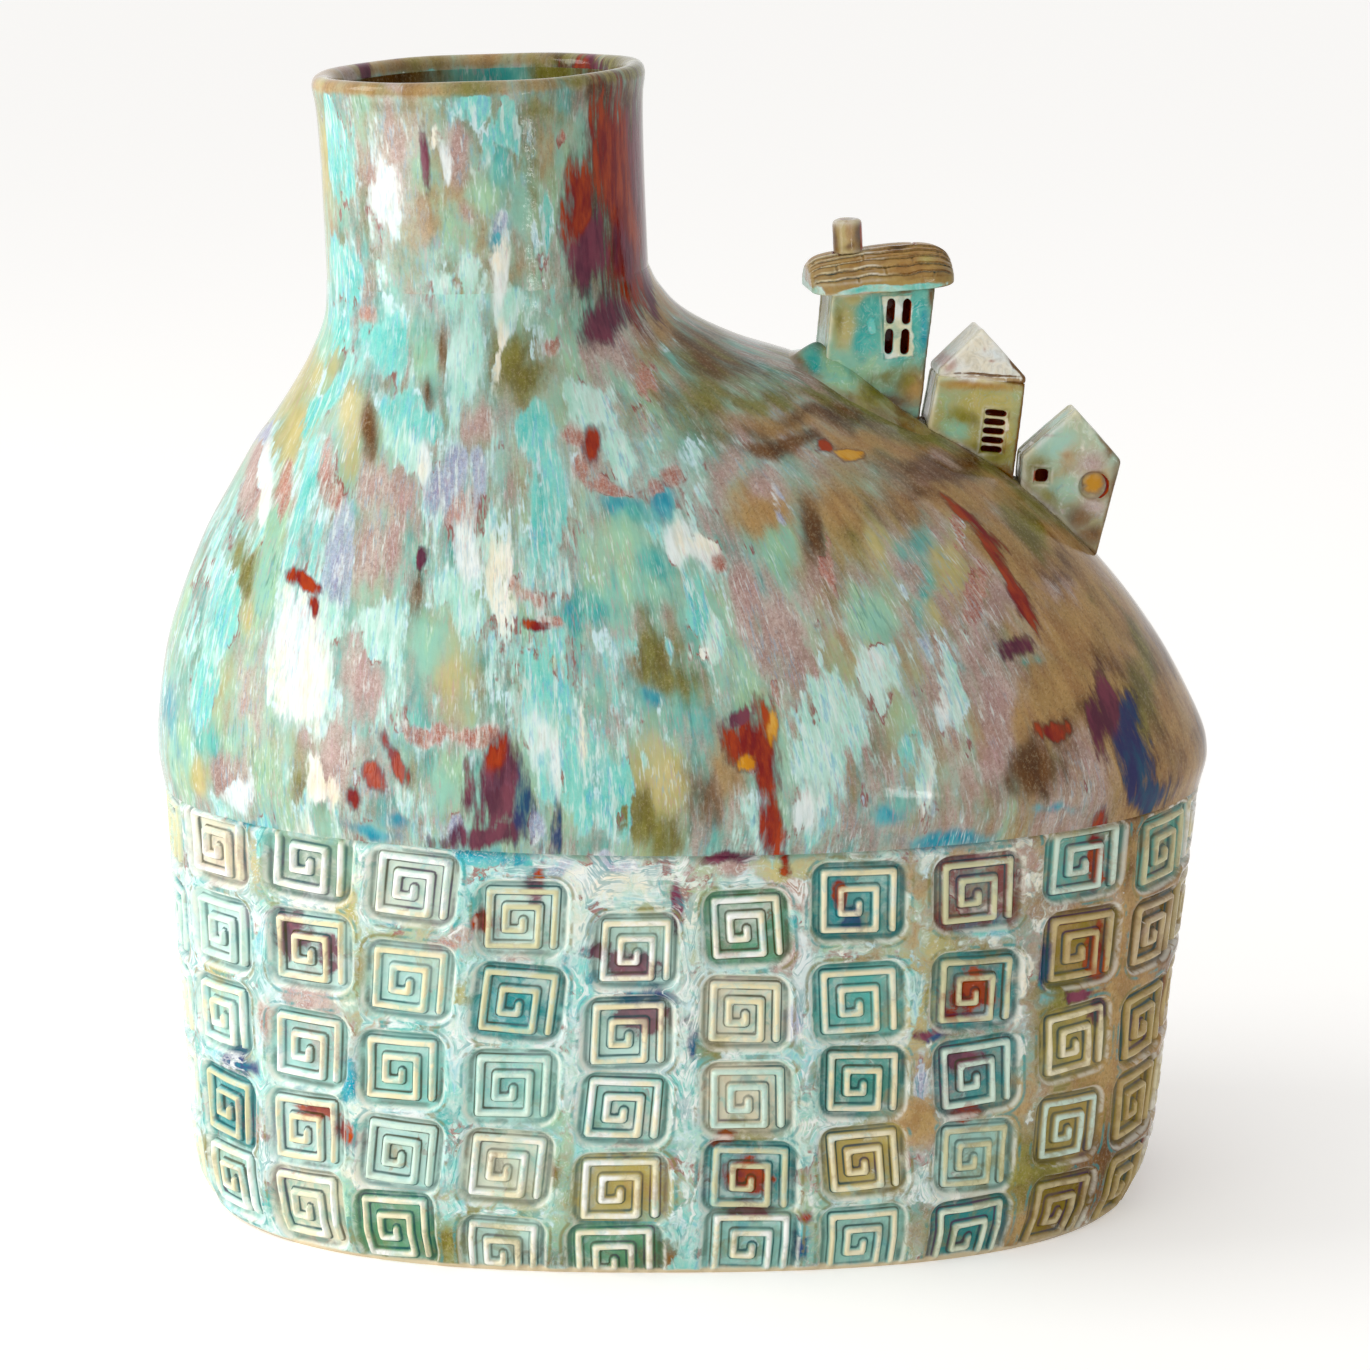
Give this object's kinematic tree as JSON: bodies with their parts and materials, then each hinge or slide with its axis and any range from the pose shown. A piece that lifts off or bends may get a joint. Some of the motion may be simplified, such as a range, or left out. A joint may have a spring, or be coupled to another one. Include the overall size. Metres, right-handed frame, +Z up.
{
  "type": "ceramic vase",
  "caption": "Slab-built oval vase with an off-centre leaning neck, spiral-stamped walls and small houses on its sloping shoulder, for holding flowers or standing alone.",
  "frame": {"origin": "on the table, under the middle of the body's box", "axes": "+Z up from the foot, +X along the body's length from the neck towards the houses, -Y towards the side that the house windows face"},
  "size_m": [0.2677, 0.142, 0.2889],
  "materials": {
    "bare_clay": "matt unglazed",
    "stamped_glaze": "glossy run glaze",
    "shoulder_glaze": "glossy run glaze",
    "neck_glaze": "glossy run glaze",
    "green_house_glaze": "glossy run glaze",
    "sage_house_glaze": "glossy run glaze",
    "pale_house_glaze": "glossy run glaze",
    "shingle_glaze": "glossy run glaze",
    "cream_roof_glaze": "glossy run glaze"
  },
  "bodies": {
    "root": {"floor_slab": "bare_clay", "floor_coil": "bare_clay", "front_wall": "stamped_glaze", "back_wall": "stamped_glaze", "shoulder": "shoulder_glaze", "neck": "neck_glaze", "tall_house_front": "green_house_glaze", "tall_house_back": "green_house_glaze", "tall_house_left": "green_house_glaze", "tall_house_right": "green_house_glaze", "tall_house_bank": "sage_house_glaze", "gable_house_front": "sage_house_glaze", "gable_house_back": "sage_house_glaze", "gable_house_left": "sage_house_glaze", "gable_house_right": "sage_house_glaze", "leaning_house_front": "pale_house_glaze", "leaning_house_back": "pale_house_glaze", "leaning_house_left": "pale_house_glaze", "leaning_house_right": "pale_house_glaze", "leaning_house_roof_left": "pale_house_glaze", "leaning_house_roof_right": "pale_house_glaze", "tall_house_roof": "shingle_glaze", "tall_house_chimney": "shingle_glaze", "gable_house_roof": "cream_roof_glaze"}
  },
  "joints": []
}
